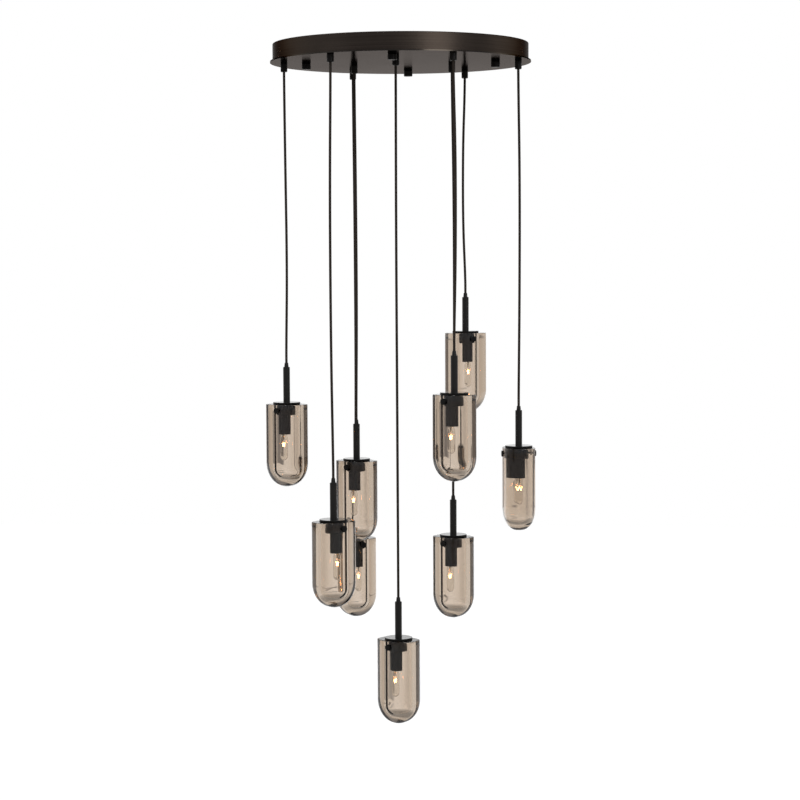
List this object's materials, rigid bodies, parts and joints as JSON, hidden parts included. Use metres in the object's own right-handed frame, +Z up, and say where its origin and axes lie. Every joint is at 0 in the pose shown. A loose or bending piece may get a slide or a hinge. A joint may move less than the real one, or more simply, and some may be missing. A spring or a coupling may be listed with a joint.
{
  "type": "cluster pendant",
  "caption": "Round ceiling canopy with a cluster of thick smoke-glass lamps hanging on cords at staggered heights.",
  "frame": {"origin": "centre of the ceiling face, where the canopy and its bracket meet the ceiling", "axes": "+Z up into the ceiling, the lamps hang to -Z; the picture is taken from about -Y"},
  "size_m": [0.6416, 0.61, 1.576],
  "materials": {
    "canopy_bronze": "brushed dark bronze, satin",
    "zinc_steel": "zinc plated",
    "black_metal": "satin black",
    "stem_black": "satin black",
    "socket_black": "satin black",
    "cord_black": "matt round flex",
    "smoke_glass": "polished smoke tinted thick glass",
    "bulb_glass": "clear thin glass"
  },
  "bodies": {
    "root": {"canopy_pan": "canopy_bronze", "ceiling_bracket": "zinc_steel", "thumb_nuts": "black_metal", "cord_grips": "black_metal", "grip_locknuts": "zinc_steel", "canopy_wiring": "cord_black"},
    "hang_a": {"cord_a": "cord_black"},
    "lamp_a": {"stem_a": "stem_black", "holder_a": "black_metal", "socket_a": "socket_black", "shade_a": "smoke_glass", "bulb_a": "bulb_glass"},
    "hang_b": {"cord_b": "cord_black"},
    "lamp_b": {"stem_b": "stem_black", "holder_b": "black_metal", "socket_b": "socket_black", "shade_b": "smoke_glass", "bulb_b": "bulb_glass"},
    "hang_c": {"cord_c": "cord_black"},
    "lamp_c": {"stem_c": "stem_black", "holder_c": "black_metal", "socket_c": "socket_black", "shade_c": "smoke_glass", "bulb_c": "bulb_glass"},
    "hang_d": {"cord_d": "cord_black"},
    "lamp_d": {"stem_d": "stem_black", "holder_d": "black_metal", "socket_d": "socket_black", "shade_d": "smoke_glass", "bulb_d": "bulb_glass"},
    "hang_e": {"cord_e": "cord_black"},
    "lamp_e": {"stem_e": "stem_black", "holder_e": "black_metal", "socket_e": "socket_black", "shade_e": "smoke_glass", "bulb_e": "bulb_glass"},
    "hang_f": {"cord_f": "cord_black"},
    "lamp_f": {"stem_f": "stem_black", "holder_f": "black_metal", "socket_f": "socket_black", "shade_f": "smoke_glass", "bulb_f": "bulb_glass"},
    "hang_g": {"cord_g": "cord_black"},
    "lamp_g": {"stem_g": "stem_black", "holder_g": "black_metal", "socket_g": "socket_black", "shade_g": "smoke_glass", "bulb_g": "bulb_glass"},
    "hang_h": {"cord_h": "cord_black"},
    "lamp_h": {"stem_h": "stem_black", "holder_h": "black_metal", "socket_h": "socket_black", "shade_h": "smoke_glass", "bulb_h": "bulb_glass"},
    "hang_i": {"cord_i": "cord_black"},
    "lamp_i": {"stem_i": "stem_black", "holder_i": "black_metal", "socket_i": "socket_black", "shade_i": "smoke_glass", "bulb_i": "bulb_glass"}
  },
  "joints": [
    {"name": "sway_a", "type": "hinge", "parent": "root", "child": "hang_a", "pos_m": [-0.275, 0, -0.054], "axis": [0, 1, 0], "range_deg": [-3, 3]},
    {"name": "turn_a", "type": "hinge", "parent": "hang_a", "child": "lamp_a", "pos_m": [-0.275, 0, -0.745], "axis": [0, 0, 1], "range_deg": [-90, 90]},
    {"name": "sway_b", "type": "hinge", "parent": "root", "child": "hang_b", "pos_m": [-0.1375, -0.23816, -0.054], "axis": [0, 1, 0], "range_deg": [-3, 3]},
    {"name": "turn_b", "type": "hinge", "parent": "hang_b", "child": "lamp_b", "pos_m": [-0.1375, -0.23816, -0.995], "axis": [0, 0, 1], "range_deg": [-90, 90]},
    {"name": "sway_c", "type": "hinge", "parent": "root", "child": "hang_c", "pos_m": [-0.11605, 0.067, -0.054], "axis": [0, 1, 0], "range_deg": [-3, 3]},
    {"name": "turn_c", "type": "hinge", "parent": "hang_c", "child": "lamp_c", "pos_m": [-0.11605, 0.067, -0.885], "axis": [0, 0, 1], "range_deg": [-90, 90]},
    {"name": "sway_d", "type": "hinge", "parent": "root", "child": "hang_d", "pos_m": [-0.1375, 0.23816, -0.054], "axis": [0, 1, 0], "range_deg": [-3, 3]},
    {"name": "turn_d", "type": "hinge", "parent": "hang_d", "child": "lamp_d", "pos_m": [-0.1375, 0.23816, -1.095], "axis": [0, 0, 1], "range_deg": [-90, 90]},
    {"name": "sway_e", "type": "hinge", "parent": "root", "child": "hang_e", "pos_m": [0, -0.134, -0.054], "axis": [0, 1, 0], "range_deg": [-3, 3]},
    {"name": "turn_e", "type": "hinge", "parent": "hang_e", "child": "lamp_e", "pos_m": [0, -0.134, -1.282], "axis": [0, 0, 1], "range_deg": [-90, 90]},
    {"name": "sway_f", "type": "hinge", "parent": "root", "child": "hang_f", "pos_m": [0.1375, -0.23816, -0.054], "axis": [0, 1, 0], "range_deg": [-3, 3]},
    {"name": "turn_f", "type": "hinge", "parent": "hang_f", "child": "lamp_f", "pos_m": [0.1375, -0.23816, -0.707], "axis": [0, 0, 1], "range_deg": [-90, 90]},
    {"name": "sway_g", "type": "hinge", "parent": "root", "child": "hang_g", "pos_m": [0.1375, 0.23816, -0.054], "axis": [0, 1, 0], "range_deg": [-3, 3]},
    {"name": "turn_g", "type": "hinge", "parent": "hang_g", "child": "lamp_g", "pos_m": [0.1375, 0.23816, -0.585], "axis": [0, 0, 1], "range_deg": [-90, 90]},
    {"name": "sway_h", "type": "hinge", "parent": "root", "child": "hang_h", "pos_m": [0.11605, 0.067, -0.054], "axis": [0, 1, 0], "range_deg": [-3, 3]},
    {"name": "turn_h", "type": "hinge", "parent": "hang_h", "child": "lamp_h", "pos_m": [0.11605, 0.067, -1.067], "axis": [0, 0, 1], "range_deg": [-90, 90]},
    {"name": "sway_i", "type": "hinge", "parent": "root", "child": "hang_i", "pos_m": [0.275, 0, -0.054], "axis": [0, 1, 0], "range_deg": [-3, 3]},
    {"name": "turn_i", "type": "hinge", "parent": "hang_i", "child": "lamp_i", "pos_m": [0.275, 0, -0.847], "axis": [0, 0, 1], "range_deg": [-90, 90]}
  ]
}
